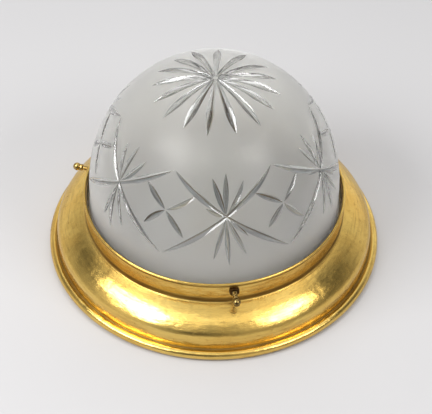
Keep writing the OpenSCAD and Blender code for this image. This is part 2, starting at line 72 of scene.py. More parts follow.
# Node helpers. Those named after one kind of node return the socket that it gives out.
class Nodes:
    def __init__(self, tree):
        self.tree = tree
        tree.nodes.clear()

    def add(self, kind, **settings):
        node = self.tree.nodes.new(kind)
        for key, value in settings.items():
            setattr(node, key, value)
        return node

    def put(self, socket, value):
        if isinstance(value, bpy.types.NodeSocket):
            self.tree.links.new(value, socket)
        else:
            socket.default_value = value

    def math(self, operation, a, b=0.0):
        node = self.add("ShaderNodeMath", operation=operation)
        self.put(node.inputs[0], a)
        self.put(node.inputs[1], b)
        return node.outputs[0]

    def noise(self, vector, scale, detail=3.0, roughness=0.5):
        node = self.add("ShaderNodeTexNoise")
        self.put(node.inputs["Vector"], vector)
        self.put(node.inputs["Scale"], scale)
        self.put(node.inputs["Detail"], detail)
        self.put(node.inputs["Roughness"], roughness)
        return node.outputs["Fac"]

    # stops are pairs of place and grey level
    def ramp(self, value, stops):
        node = self.add("ShaderNodeValToRGB")
        elements = node.color_ramp.elements
        while len(elements) < len(stops):
            elements.new(0.5)
        for element, (at, level) in zip(elements, stops):
            element.position = at
            element.color = (level, level, level, 1)
        self.put(node.inputs[0], value)
        return node.outputs[0]

    def mix(self, factor, a, b):
        node = self.add("ShaderNodeMix", data_type="RGBA")
        for socket, value in zip((0, 6, 7), (factor, a, b)):  # its colour sockets are the seventh and eighth
            self.put(node.inputs[socket], value)
        return node.outputs[2]

    def span(self, value, low, high, toLow=0.0, toHigh=1.0):
        node = self.add("ShaderNodeMapRange")
        for socket, v in zip(node.inputs, (value, low, high, toLow, toHigh)):
            self.put(socket, v)
        return node.outputs[0]

    def bump(self, height, distance, strength=1.0, normal=None):
        node = self.add("ShaderNodeBump")
        self.put(node.inputs["Height"], height)
        self.put(node.inputs["Distance"], distance)
        self.put(node.inputs["Strength"], strength)
        if normal is not None:
            self.put(node.inputs["Normal"], normal)
        return node.outputs[0]

    def place(self):
        return self.add("ShaderNodeTexCoord").outputs["Object"]

    def surface(self, inputs):
        shader = self.add("ShaderNodeBsdfPrincipled")
        for name, value in inputs.items():
            self.put(shader.inputs[name], value)
        self.tree.links.new(shader.outputs[0], self.add("ShaderNodeOutputMaterial").inputs[0])


# sRGB 0-255 to a linear node colour, by the curve of the sRGB standard
def colour(r, g, b):
    lin = [c / 255 / 12.92 if c <= 10.31 else ((c / 255 + 0.055) / 1.055) ** 2.4 for c in (r, g, b)]
    return (*lin, 1.0)


def newMaterial(name):
    material = bpy.data.materials.new(name)
    material.use_nodes = True
    return material, Nodes(material.node_tree)


# A cloud mixes two colours, the roughness follows it or its own wear noise, and a grain gives the relief.
# A look's noises are scale, detail and roughness, and its relief is height in metres and strength.
def mottled(name, first, second, rough, look):
    material, n = newMaterial(name)
    at = n.place()
    cloud = n.noise(at, *look["cloud"])
    wear = n.noise(at, *look["wear"]) if "wear" in look else cloud
    n.surface({"Base Color": n.mix(n.span(cloud, *look["contrast"]), colour(*first), colour(*second)),
               "Roughness": n.span(wear, 0.3, 0.7, *rough),
               "Normal": n.bump(n.noise(at, *look["grain"]), *look["relief"]), **look["surface"]})
    return material


# Stage and light
studio = {
    "floorSize": 24.0, "floorZ": -0.0003, "floorColour": (196, 195, 196), "floorShade": (194, 193, 194),
    "backdrop": (224, 223, 222),
    # brightness of the room by height: sine of the elevation, level
    "room": [(-1.0, 0.72), (0.0, 0.66), (0.35, 0.52), (0.62, 0.42), (0.80, 0.60), (0.855, 1.35),
             (0.885, 2.0), (0.925, 1.3), (0.955, 0.92), (0.98, 0.68), (1.0, 0.60)],
    "darkest": 0.03,
    # lighter and darker parts of the room: azimuth, elevation, tightness, level added
    "patches": [(2, 30, 12, -0.46), (166, 34, 16, -0.38), (-103, 32, 12, -0.44), (-74, 40, 16, 0.25),
                (-145, 24, 10, 0.55), (140, 8, 10, 0.40), (-118, 52, 30, 0.45), (110, 76, 12, 0.45),
                (80, 20, 4, 0.75), (22, 52, 16, -0.32), (148, 50, 16, -0.34), (-105, 5, 8, -0.2),
                (20, 80, 25, 0.22), (48, 12, 7, 0.25)],
    # lamps: azimuth, elevation, distance, width, height, brightness of the face
    "lamps": {
        "boxLeft": (-151, 48, 1.6, 1.02, 0.46, 8.5),
        "boxRight": (-32, 45.5, 1.6, 0.74, 0.38, 7.0),
        "boxBack": (140, 66, 1.8, 0.60, 0.30, 3.0),
    },
}
paper = {"cloud": (3, 2), "contrast": (0.3, 0.7), "grain": (900, 2), "relief": (0.0001, 0.2),
         "surface": {"Specular IOR Level": 0.25}}


def bearing(azimuth, elevation):
    a, e = math.radians(azimuth), math.radians(elevation)
    return Vector((math.cos(e) * math.cos(a), math.cos(e) * math.sin(a), math.sin(e)))


# Level = ramp((z + 1) / 2) plus, for each patch, amount * exp(tight * (direction . patch - 1))
def makeRoom(s):
    world = bpy.data.worlds.new("room")
    bpy.context.scene.world = world
    world.use_nodes = True
    n = Nodes(world.node_tree)
    ray = n.add("ShaderNodeTexCoord").outputs["Generated"]
    split = n.add("ShaderNodeSeparateXYZ")
    n.put(split.inputs[0], ray)
    height = n.math("MULTIPLY_ADD", split.outputs[2], 0.5)
    height.node.inputs[2].default_value = 0.5
    top = max(level for _, level in s["room"])
    level = n.math("MULTIPLY", n.ramp(height, [((z + 1) / 2, v / top) for z, v in s["room"]]), top)
    for azimuth, elevation, tight, amount in s["patches"]:
        dot = n.add("ShaderNodeVectorMath", operation="DOT_PRODUCT")
        n.put(dot.inputs[0], ray)
        dot.inputs[1].default_value = bearing(azimuth, elevation)
        near = n.math("EXPONENT", n.math("MULTIPLY", n.math("SUBTRACT", dot.outputs["Value"], 1), tight))
        level = n.math("ADD", level, n.math("MULTIPLY", near, amount))
    room = n.add("ShaderNodeBackground")
    n.put(room.inputs["Strength"], n.math("MAXIMUM", level, s["darkest"]))
    plain = n.add("ShaderNodeBackground")
    plain.inputs["Color"].default_value = colour(*s["backdrop"])
    mix = n.add("ShaderNodeMixShader")
    n.put(mix.inputs[0], n.add("ShaderNodeLightPath").outputs["Is Camera Ray"])
    n.tree.links.new(room.outputs[0], mix.inputs[1])
    n.tree.links.new(plain.outputs[0], mix.inputs[2])
    n.tree.links.new(mix.outputs[0], n.add("ShaderNodeOutputWorld").inputs[0])


def makeLamps(s):
    for name, (azimuth, elevation, distance, width, height, brightness) in s["lamps"].items():
        data = bpy.data.lights.new(name, "AREA")
        data.shape, data.size, data.size_y = "RECTANGLE", width, height
        data.energy = 4 * width * height * brightness  # power grows with area, so the face stays as bright
        obj = bpy.data.objects.new(name, data)
        bpy.context.collection.objects.link(obj)
        towards = bearing(azimuth, elevation)
        obj.location = towards * distance
        obj.rotation_euler = towards.to_track_quat("Z", "Y").to_euler()
        obj.visible_camera = False


def makeFloor(s):
    half, z = s["floorSize"] / 2, s["floorZ"]
    mesh = bpy.data.meshes.new("floor")
    corners = [(-half, -half, z), (half, -half, z), (half, half, z), (-half, half, z)]
    mesh.from_pydata(corners, [], [(0, 1, 2, 3)])
    floor = bpy.data.objects.new("floor", mesh)
    bpy.context.collection.objects.link(floor)
    mesh.materials.append(mottled("paper", s["floorColour"], s["floorShade"], (0.75, 0.75), paper))


makeRoom(studio)
makeLamps(studio)
makeFloor(studio)
print("stage and light set")


# Mesh helpers
replacedNodes = []


def makeObject(name, mesh, materials, body, replaces):
    obj = bpy.data.objects.new(name, mesh)
    bpy.context.collection.objects.link(obj)
    for material in materials:
        mesh.materials.append(material)
    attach(obj, body)
    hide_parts(*replaces)
    replacedNodes.extend(replaces)
    return obj


# One property of every item in a collection, as an array with a row for each
def read(items, key, width=1, kind=float):
    values = np.empty(len(items) * width, dtype=kind)
    items.foreach_get(key, values)
    return values.reshape(-1, width) if width > 1 else values


def setSlots(mesh, slots):
    mesh.polygons.foreach_set("material_index", np.broadcast_to(slots, len(mesh.polygons)).astype(np.int32))


# A mesh from points in metres, the corners of all faces in a row, and the number of corners of each face
def meshFromArrays(name, verts, corners, counts):
    mesh = bpy.data.meshes.new(name)
    mesh.vertices.add(len(verts))
    mesh.vertices.foreach_set("co", verts.ravel())
    mesh.loops.add(len(corners))
    mesh.loops.foreach_set("vertex_index", corners.astype(np.int32))
    mesh.polygons.add(len(counts))
    mesh.polygons.foreach_set("loop_start", np.concatenate([[0], np.cumsum(counts)[:-1]]).astype(np.int32))
    mesh.update(calc_edges=True)
    return mesh


def smooth(mesh, sharp):
    mesh.polygons.foreach_set("use_smooth", np.ones(len(mesh.polygons), dtype=bool))
    if sharp:
        mesh.set_sharp_from_angle(angle=math.radians(sharp))


# A surface through an (m, n, 3) grid in mm, closed round its rows. A row whose points coincide becomes one.
# The signed volume, a sum of a . (b x c) over the faces, tells which way round they go.
def meshFromGrid(name, points, wrapV=False, uv=None, sharp=40, coincide=1e-7):
    m, n = points.shape[:2]
    index = np.arange(m * n).reshape(m, n)
    pole = np.ptp(points, axis=1).max(axis=1) < coincide
    index[pole] = index[pole, :1]
    index = np.hstack([index, index[:, :1]])
    if wrapV:
        index = np.vstack([index, index[:1]])
    quads = np.stack([index[:-1, :-1], index[:-1, 1:], index[1:, 1:], index[1:, :-1]], -1).reshape(-1, 4)
    used, flat = np.unique(quads, return_inverse=True)
    quads = flat.reshape(-1, 4)
    verts = points.reshape(-1, 3)[used] * mm
    a, b, c, d = (verts[quads[:, k]] for k in range(4))
    volume = np.einsum("ij,ij->", a, np.cross(b, c)) + np.einsum("ij,ij->", a, np.cross(c, d))
    if uv is None:
        v, u = np.meshgrid(*(np.linspace(0, 1, k) for k in index.shape), indexing="ij")
        uv = np.stack([u, v], -1)
    corners = np.stack([uv[:-1, :-1], uv[:-1, 1:], uv[1:, 1:], uv[1:, :-1]], -2).reshape(-1, 4, 2)
    if volume < 0:
        quads, corners = quads[:, ::-1], corners[:, ::-1]
    keep = quads != np.roll(quads, -1, axis=1)
    counts = keep.sum(1)
    faces = counts >= 3
    keep &= faces[:, None]
    mesh = meshFromArrays(name, verts, quads[keep], counts[faces])
    mesh.uv_layers.new(name="map").data.foreach_set("uv", corners[keep].ravel())
    mesh.validate()
    smooth(mesh, sharp)
    return mesh


# One mesh from several that stay separate solids
def joinMeshes(name, meshes, sharp=38):
    firsts = np.cumsum([0] + [len(m.vertices) for m in meshes])
    corners = [read(m.loops, "vertex_index", kind=np.int32) + first for m, first in zip(meshes, firsts)]
    counts = [read(m.polygons, "loop_total", kind=np.int32) for m in meshes]
    verts = [read(m.vertices, "co", 3) for m in meshes]
    joined = meshFromArrays(name, np.vstack(verts), np.concatenate(corners), np.concatenate(counts))
    for m in meshes:
        bpy.data.meshes.remove(m)
    smooth(joined, sharp)
    return joined


# P(a) = centre + radius (cos a, sin a), in even steps from start to end in degrees
def arcPoints(centre, radius, start, end, steps):
    a = np.radians(np.linspace(start, end, steps + 1))
    return np.column_stack([centre[0] + radius * np.cos(a), centre[1] + radius * np.sin(a)])


def linePoints(a, b, steps):
    return np.linspace(a, b, steps + 1)


# One profile from several, without its repeated points
def joinProfile(*parts):
    p = np.vstack(parts)
    keep = np.r_[True, np.linalg.norm(np.diff(p, axis=0), axis=1) > 1e-6]
    return p[keep]


def lengthAlong(profile):
    return np.r_[0, np.cumsum(np.linalg.norm(np.diff(profile, axis=0), axis=1))]


# A profile's two coordinates as grids, with a column for each place round the axis
def spread(profile, turn):
    return profile[:, :1] + 0 * turn, profile[:, 1:] + 0 * turn


# P = (r cos a, r sin a, z)
def turned(r, z, a):
    return np.stack([r * np.cos(a), r * np.sin(a), z], -1)


# P(v, u) = (r(v) cos u, r(v) sin u, z(v))
def revolve(profile, steps):
    u = np.arange(steps) * tau / steps
    return turned(*spread(profile, u), u)


# Rings on a screw's own axis, P = (x, r cos t, r sin t), swung round Z by its angle and raised to its height
def onScrewAxis(s, k, x, r, t):
    a, y = math.radians(s["angles"][k]), r * np.cos(t)
    return np.stack([x * math.cos(a) - y * math.sin(a), x * math.sin(a) + y * math.cos(a),
                     s["height"] + r * np.sin(t)], -1)


# Takes closed meshes away from an object's own, one after the other, and returns its new mesh
def carve(obj, tools):
    helpers = []
    for k, tool in enumerate(tools):
        helper = bpy.data.objects.new(tool.name, tool)
        bpy.context.collection.objects.link(helper)
        helpers.append(helper)
        cut = obj.modifiers.new(f"cut{k}", "BOOLEAN")
        cut.operation, cut.solver, cut.object = "DIFFERENCE", "MANIFOLD", helper
    bpy.context.view_layer.update()
    result = bpy.data.meshes.new_from_object(obj.evaluated_get(bpy.context.evaluated_depsgraph_get()))
    obj.modifiers.clear()
    obj.data = result
    result.name = obj.name
    for helper in helpers:
        bpy.data.objects.remove(helper)
    return result


# Brass
brassLook = {
    "light": (234, 201, 114), "warm": (222, 180, 92), "dark": (82, 55, 23), "smudged": (147, 110, 50),
    "rough": (0.17, 0.28), "stain": 0.32,
    # how much of its colour the painted shade in the crevices and the smudges take, and the roughness that
    # they add
    "creviceShade": (0.85, 0.3), "smudge": (0.35, 0.08), "softEdge": 0.25,
    "cloud": (16, 4, 0.6), "dents": (26, 3, 0.55),
    # noises that run round the axis: how often they change round it and along the profile, detail, roughness
    "streaks": (5, 70, 4, 0.6), "toolLines": (3, 2200, 2, 0.6),
    "smudges": (22, 60, 5, 0.7), "waves": (7, 26, 3, 0.6),
    # relief: height in metres and strength
    "toolRelief": (0.00003, 0.15), "dentRelief": (0.006, 0.175), "waveRelief": (0.0016, 0.21),
}


# Spun and polished brass: rings round the axis, warm stains, and painted shade, brown, in the crevices, which
# are pairs of V
def brass(name, s, crevices):
    material, n = newMaterial(name)
    at = n.place()
    split = n.add("ShaderNodeSeparateXYZ")
    n.put(split.inputs[0], n.add("ShaderNodeUVMap", uv_map="map").outputs[0])
    turn, v = n.math("MULTIPLY", split.outputs[0], tau), split.outputs[1]

    def roundNoise(alongU, alongV, detail, roughness):
        spot = n.add("ShaderNodeCombineXYZ")
        n.put(spot.inputs[0], n.math("MULTIPLY", n.math("COSINE", turn), alongU))
        n.put(spot.inputs[1], n.math("MULTIPLY", n.math("SINE", turn), alongU))
        n.put(spot.inputs[2], n.math("MULTIPLY", v, alongV))
        return n.noise(spot.outputs[0], 1, detail, roughness)

    # lays a tone over hue and roughness, as far as mask goes
    def cover(mask, tone, share, rougher):
        return (n.mix(n.math("MULTIPLY", mask, share), hue, colour(*tone)),
                n.math("ADD", roughness, n.math("MULTIPLY", mask, rougher)))

    cloud, streak = n.noise(at, *s["cloud"]), roundNoise(*s["streaks"])
    hue = n.mix(n.span(cloud, 0.35, 0.68), colour(*s["light"]), colour(*s["warm"]))
    hue = n.mix(n.math("MULTIPLY", n.span(streak, 0.5, 0.72), s["stain"]), hue, colour(*s["dark"]))
    both = n.math("ADD", n.math("MULTIPLY", streak, 0.5), n.math("MULTIPLY", cloud, 0.5))
    roughness = n.span(both, 0.35, 0.65, *s["rough"])
    stops = []
    for low, high in crevices:
        soft = (high - low) * s["softEdge"]
        stops += [(low, 0.0), (low + soft, 1.0), (high - soft, 1.0), (high, 0.0)]
    # painted shade: the crevices are darkened towards the dark brown, where the ring would be shaded
    creviceShade = n.math("MULTIPLY", n.ramp(v, stops), n.span(streak, 0.2, 0.6, 0.75, 1.0))
    hue, roughness = cover(creviceShade, s["dark"], *s["creviceShade"])
    hue, roughness = cover(n.span(roundNoise(*s["smudges"]), 0.54, 0.7), s["smudged"], *s["smudge"])
    bumps = n.bump(roundNoise(*s["toolLines"]), *s["toolRelief"])
    bumps = n.bump(n.noise(at, *s["dents"]), *s["dentRelief"], bumps)
    bumps = n.bump(roundNoise(*s["waves"]), *s["waveRelief"], bumps)
    n.surface({"Base Color": hue, "Metallic": 1.0, "Roughness": roughness, "Normal": bumps})
    return material


oxide = {"cloud": (45, 5, 0.65), "contrast": (0.35, 0.65), "grain": (300, 3), "relief": (0.0001, 0.4),
         "surface": {"Metallic": 0.8}}


# The unpolished inside: brown oxide with lighter patches
def dullBrass(name):
    return mottled(name, (122, 98, 62), (170, 144, 98), (0.62, 0.42), oxide)


# Thumb screws and bosses: places along a screw are distances from the lamp's axis
screws = {
    "angles": (-81, 41.5, 164), "height": 53.614, "start": 113.25, "radius": 2.0, "pitch": 0.7, "depth": 0.36,
    "threadEnd": 123.4, "threadRows": 190, "fade": 0.8, "steps": 48,
    # at the ends of the thread: length and drop of the chamfer, depth of the undercut and the slope out of it
    "chamfer": (0.3, 0.4), "undercut": 0.15, "undercutSlope": 0.2,
    "collar": 124.576, "collarRadius": 3.0, "collarLength": 3.0, "shoulder": 1.1, "collarEdge": 0.5,
    "ball": 130.5, "ballRadius": 3.65,
    "boss": 4.6, "bossEnd": 119.0, "shank": 3.2, "shankStart": 114.6, "bore": 2.05, "rounding": 0.7,
    # the worn outline of a boss, its distance from the neck, and the rounding of its bore
    "waver": 0.035, "offNeck": 0.02, "boreEdge": 0.3, "bossSteps": 64,
}

# Base ring, with a hole for each thumb screw
ring = {
    "rim": 150.0, "bead": 4.2, "ledge": 7.4, "groove": 1.2, "wallTop": 18.6, "nose": 10.6, "noseAngle": 45,
    "cushion": 55.0, "neck": 116.6, "cove": 1.6, "riser": 0.6, "neckHeight": 23.0, "lip": 1.15,
    "sheet": 1.0, "flange": 18.0, "edge": 0.45, "polishedFrom": 44.0, "steps": 360, "sharp": 35,
    # painted shade: above and below the foot of the lip, up the neck and onto the step, and round the groove
    "lipShade": (0.2, 1.3), "stepShade": (6.5, 0.4), "grooveShade": (0.9, 0.7),
    # the two flush rivets of the strap: distance from the middle, radius of head and shaft
    "rivetX": 133.9, "rivetHead": 3.5, "rivetShaft": 2.0,
    # holes: their play, how far the drills reach inside and outside the neck and past the rivets' ends, sides
    "play": 0.03, "drillReach": (4, 2), "rivetPast": 0.4, "drillSteps": 48,
}


# The places on the ring's section that the other pieces share, in mm
def ringShape(s):
    wall = s["rim"] - s["ledge"]
    bead = np.array([s["rim"] - s["bead"], s["bead"]])
    grooveX = wall + s["groove"]
    rise = math.sqrt((s["bead"] + s["groove"]) ** 2 - (bead[0] - grooveX) ** 2)
    nose = np.array([wall - s["nose"], s["wallTop"]])
    a = math.radians(s["noseAngle"])
    cushion = nose - (s["cushion"] - s["nose"]) * np.array([math.cos(a), math.sin(a)])
    step = s["neck"] + s["cove"]
    stepAngle = math.degrees(math.acos((step - cushion[0]) / s["cushion"]))
    stepZ = cushion[1] + s["cushion"] * math.sin(math.radians(stepAngle)) + s["riser"]
    return {
        "wall": wall, "bead": bead, "groove": np.array([grooveX, s["bead"] + rise]),
        "grooveAngle": math.degrees(math.atan2(rise, grooveX - bead[0])), "nose": nose, "cushion": cushion,
        "step": step, "stepAngle": stepAngle, "stepZ": stepZ,
        "lip": np.array([s["neck"], stepZ + s["neckHeight"] - s["lip"]]), "flange": bead[0] - s["flange"],
    }


# The outside from the lip down to the flange, then the inside back up, and how many points the inside has
def ringProfile(s, g):
    sheet, edge = s["sheet"], s["edge"]
    inner = s["neck"] - sheet
    lipIn = math.sqrt(s["lip"] ** 2 - sheet ** 2)
    lipStart = 180 + math.degrees(math.asin(lipIn / s["lip"]))
    innerAngle = math.degrees(math.acos((inner - g["cushion"][0]) / (s["cushion"] - sheet)))
    innerZ = g["cushion"][1] + (s["cushion"] - sheet) * math.sin(math.radians(innerAngle))
    cove = np.array([g["step"], g["stepZ"] + s["cove"]])
    ledge = np.array([g["step"] - edge, g["stepZ"] - edge])
    outside = joinProfile(
        arcPoints(g["lip"], s["lip"], lipStart, -90, 22),
        linePoints((s["neck"], g["lip"][1] - s["lip"]), (s["neck"], cove[1]), 8),
        arcPoints(cove, s["cove"], 180, 254, 9),
        arcPoints(ledge, edge, 90, 0, 7),
        arcPoints(g["cushion"], s["cushion"], g["stepAngle"], s["noseAngle"], 52),
        arcPoints(g["nose"], s["nose"], s["noseAngle"], 0, 20),
        linePoints((g["wall"], s["wallTop"]), (g["wall"], g["groove"][1]), 4),
        arcPoints(g["groove"], s["groove"], 180, g["grooveAngle"] + 180, 14),
        arcPoints(g["bead"], s["bead"], g["grooveAngle"], -90, 34),
        linePoints((g["bead"][0], 0), (g["flange"], 0), 4),
    )
    inside = joinProfile(
        linePoints((g["flange"], sheet), (g["bead"][0], sheet), 4),
        arcPoints(g["bead"], s["bead"] - sheet, -90, g["grooveAngle"], 20),
        arcPoints(g["groove"], s["groove"] + sheet, g["grooveAngle"] + 180, 180, 8),
        arcPoints(g["nose"], s["nose"] - sheet, 0, s["noseAngle"], 8),
        arcPoints(g["cushion"], s["cushion"] - sheet, s["noseAngle"], innerAngle, 14),
        linePoints((inner, innerZ), (inner, g["lip"][1] - lipIn), 4),
    )
    return joinProfile(outside, inside), len(inside)


# Closed drills for the screws' shanks, then one for each rivet, whose flush head lies in a dished hole
def ringDrills(s):
    turn = np.arange(s["drillSteps"]) / s["drillSteps"] * tau
    near, far, r = s["neck"] - s["drillReach"][0], s["neck"] + s["drillReach"][1], screws["shank"] + s["play"]
    shank = spread(np.array([(near, 0), (near, r), (far, r), (far, 0)]), turn)
    drills = [meshFromGrid(f"drill{k}", onScrewAxis(screws, k, *shank, turn)) for k in range(3)]
    past, thick = s["rivetPast"], s["sheet"]
    head, shaft = s["rivetHead"] + s["play"], s["rivetShaft"] + s["play"]
    flare = (head - shaft) / thick * past
    dish = np.array([(0, -past), (head + flare, -past), (shaft, thick), (shaft, thick + past),
                     (0, thick + past)])
    for k, x in enumerate((-s["rivetX"], s["rivetX"])):
        drills.append(meshFromGrid(f"rivetHole{k}", revolve(dish, s["drillSteps"]) + (x, 0, 0)))
    return drills


def makeRing(s, g):
    profile, insideRows = ringProfile(s, g)
    along = lengthAlong(np.vstack([profile, profile[:1]]))
    v, u = np.meshgrid(along / along[-1], np.linspace(0, 1, s["steps"] + 1), indexing="ij")
    uv = np.stack([u, v], -1)
    mesh = meshFromGrid("ringBody", revolve(profile, s["steps"]), wrapV=True, uv=uv, sharp=s["sharp"])

    # V of the profile's nearest point to a place
    def share(x, z):
        return along[np.argmin(np.linalg.norm(profile - (x, z), axis=1))] / along[-1]

    lipFoot, (grooveX, grooveZ) = g["lip"][1] - s["lip"], g["groove"]
    shadeZ, shadeX = s["grooveShade"]
    # the crevices that take painted shade: round the foot of the lip, at the foot of the neck, and round the
    # groove
    crevices = [
        (share(s["neck"], lipFoot + s["lipShade"][0]), share(s["neck"], lipFoot - s["lipShade"][1])),
        (share(s["neck"], g["stepZ"] + s["stepShade"][0]), share(g["step"] - s["stepShade"][1], g["stepZ"])),
        (share(g["wall"], grooveZ + shadeZ), share(grooveX + shadeX, grooveZ - shadeZ)),
    ]
    # dull below the seat of the glass; the neck above it is polished inside too
    dull = (np.arange(len(profile)) >= len(profile) - insideRows) & (profile[:, 1] < s["polishedFrom"])
    setSlots(mesh, np.repeat(dull, s["steps"]))
    metals = [brass("ringBrass", brassLook, crevices), dullBrass("ringInside")]
    obj = makeObject("ringBody", mesh, metals, "lamp", ["base_ring"])
    drills = ringDrills(s)
    for drill in drills:
        for metal in metals:
            drill.materials.append(metal)
        setSlots(drill, 1)
    carve(obj, drills).set_sharp_from_angle(angle=math.radians(s["sharp"]))


makeRing(ring, ringShape(ring))
print("ring made")


# Glass dome: half an ellipsoid on a short cylinder, with a lip at its foot
dome = {
    "radius": 111.6, "rise": 121.5, "wall": 5.0, "centre": 73.414, "seat": 45.014,
    "lip": 114.1, "lipHeight": 6.0, "fillet": 0.8, "steps": 288, "rows": 80,
    # how well the normals of skins and flanks must agree with the face's, and where skins start above the lip
    "skinMatch": 0.985, "flankMatch": 0.8, "aboveLip": 1, "sharp": 7,
}
frosted = {"cloud": (14, 3), "contrast": (0, 1), "grain": (2600, 2), "relief": (0.00002, 0.3),
           "surface": {"Transmission Weight": 0.81, "IOR": 1.5, "Sheen Weight": 0.5, "Sheen Roughness": 0.5}}
clear = {"cloud": (30, 2), "contrast": (0, 1), "wear": (60, 2), "grain": (35, 2), "relief": (0.0008, 0.05),
         "surface": {"Transmission Weight": 1.0, "IOR": 1.5}}
# polished flanks, with faint facets left by the wheel
wheelCutGlass = {"cloud": (30, 2), "contrast": (0, 1), "wear": (160, 2), "grain": (38, 1, 0.4),
                 "relief": (0.0045, 0.3),
                 "surface": {"Transmission Weight": 1.0, "IOR": 1.7, "Specular IOR Level": 0.9}}


# Outer ellipse down to the lip, round the foot, and back up the inner ellipse: (R cos a, c + H sin a)
def domeProfile(s):
    inner, fillet = s["radius"] - s["wall"], s["fillet"]
    rounding = (s["lip"] - s["radius"]) * 0.5
    edge, top = s["lip"] - rounding, s["seat"] + s["lipHeight"]
    a = np.radians(np.linspace(90, 0, s["rows"] + 1))
    b = np.radians(np.linspace(0, 90, s["rows"] // 2 + 1))
    outer = np.column_stack([s["radius"] * np.cos(a), s["centre"] + s["rise"] * np.sin(a)])
    inside = np.column_stack([inner * np.cos(b), s["centre"] + (s["rise"] - s["wall"]) * np.sin(b)])
    outer[0, 0] = inside[-1, 0] = 0
    return joinProfile(
        outer,
        linePoints((s["radius"], s["centre"]), (s["radius"], top + fillet), 6),
        arcPoints((s["radius"] + fillet, top + fillet), fillet, 180, 270, 5),
        arcPoints((edge, top - rounding), rounding, 90, 0, 6),
        arcPoints((edge, s["seat"] + rounding), rounding, 0, -90, 6),
        linePoints((edge, s["seat"]), (inner + fillet, s["seat"]), 2),
        arcPoints((inner + fillet, s["seat"] + fillet), fillet, 270, 180, 4),
        inside,
    )


# P(a, t) = (R cos t cos a, R cos t sin a, c + H sin t), angles in degrees
def onDome(azimuth, latitude, s):
    a, t = np.radians(azimuth), np.radians(latitude)
    return turned(s["radius"] * np.cos(t), s["centre"] + s["rise"] * np.sin(t), a)


# The ellipsoid's gradient, (x / R^2, y / R^2, (z - c) / H^2), at length 1
def domeNormal(p, s):
    n = np.stack([p[..., 0] / s["radius"] ** 2, p[..., 1] / s["radius"] ** 2,
                  (p[..., 2] - s["centre"]) / s["rise"] ** 2], -1)
    return n / np.linalg.norm(n, axis=-1, keepdims=True)


# A wheel's swept groove: h(x) = -d (1 - |x / w|^q) across it, with d = width / (q (cot a + cot b)). Its sides
# go on above the glass. Where it would get thinner than the thinnest width, it rises out of it instead.
def wheelCut(azimuth, latitude, width, slopes, s, roundness=1.5, over=1.0, thinnest=0.03, count=6):
    p = onDome(azimuth, latitude, s)
    n = domeNormal(p, s)
    side = np.cross(np.gradient(p, axis=0), n)
    side /= np.linalg.norm(side, axis=1, keepdims=True)
    lift = np.maximum(thinnest - width, 0) * 0.5
    tangent = np.tan(np.radians(slopes))
    depth = np.maximum(width, thinnest) / (roundness * (1 / tangent).sum(0))
    half = roundness * depth / tangent
    u = np.linspace(0, 1, count)
    down = -depth[:, None] * (1 - u ** roundness)
    x = np.hstack([half[0][:, None] * u, (half[0] + over / tangent[0])[:, None],
                   -(half[1] + over / tangent[1])[:, None], -half[1][:, None] * u[:0:-1]])
    h = np.hstack([down, np.full((len(p), 2), over), down[:, :0:-1]]) + lift[:, None]
    rings = p[:, None] + side[:, None] * x[..., None] + n[:, None] * h[..., None]
    # normals at the start and end of each side of a ring, towards the inside of the groove
    begin = np.concatenate([u, [1, 1], u[:0:-1]]) ** (roundness - 1)
    end = np.concatenate([u[1:], [1, 1, 1], u[-2::-1]]) ** (roundness - 1)
    lean = np.hstack([np.repeat(tangent[0][:, None], count + 1, 1),
                      np.repeat(-tangent[1][:, None], count, 1)])
    flanks = [n[:, None] - side[:, None] * (lean * k)[..., None] for k in (begin, end)]
    flanks = np.stack([f / np.linalg.norm(f, axis=-1, keepdims=True) for f in flanks], 2)
    flanks[:, count] = -n[:, None]
    return rings, flanks


# The closed solids through lists of equal rings: two triangles between neighbours on a pair of rings, and a
# fan at both ends. Each corner keeps its flank's normal, and those of the fans have none.
def wedgeMesh(name, wedges):
    verts, faces, normals, base = [], [], [], 0
    for rings, flanks in wedges:
        m, k = rings.shape[:2]
        i = np.arange(m - 1)[:, None] * k
        a, b = i + np.arange(k), i + (np.arange(k) + 1) % k
        here, there = flanks[:-1], flanks[1:]
        faces += [(base + np.stack([a, b, b + k], -1)).reshape(-1, 3),
                  (base + np.stack([a, b + k, a + k], -1)).reshape(-1, 3)]
        normals += [np.stack([here[:, :, 0], here[:, :, 1], there[:, :, 1]], 2).reshape(-1, 3, 3),
                    np.stack([here[:, :, 0], there[:, :, 1], there[:, :, 0]], 2).reshape(-1, 3, 3)]
        fan = np.stack([np.zeros(k - 2, dtype=int), np.arange(1, k - 1), np.arange(2, k)], -1)
        faces += [base + fan[:, ::-1], base + fan + k * (m - 1)]
        normals += [np.zeros((2 * (k - 2), 3, 3))]
        verts.append(rings.reshape(-1, 3))
        base += k * m
    v, f, n = np.vstack(verts), np.vstack(faces), np.vstack(normals)
    a, b, c = v[f[:, 0]], v[f[:, 1]], v[f[:, 2]]
    if np.einsum("ij,ij->", a, np.cross(b, c)) < 0:
        f, n = f[:, ::-1], n[:, ::-1]
    mesh = meshFromArrays(name, v * mm, f.ravel(), np.full(len(f), 3))
    mesh.attributes.new("flank", "FLOAT_VECTOR", "CORNER").data.foreach_set("vector", n.ravel())
    return mesh


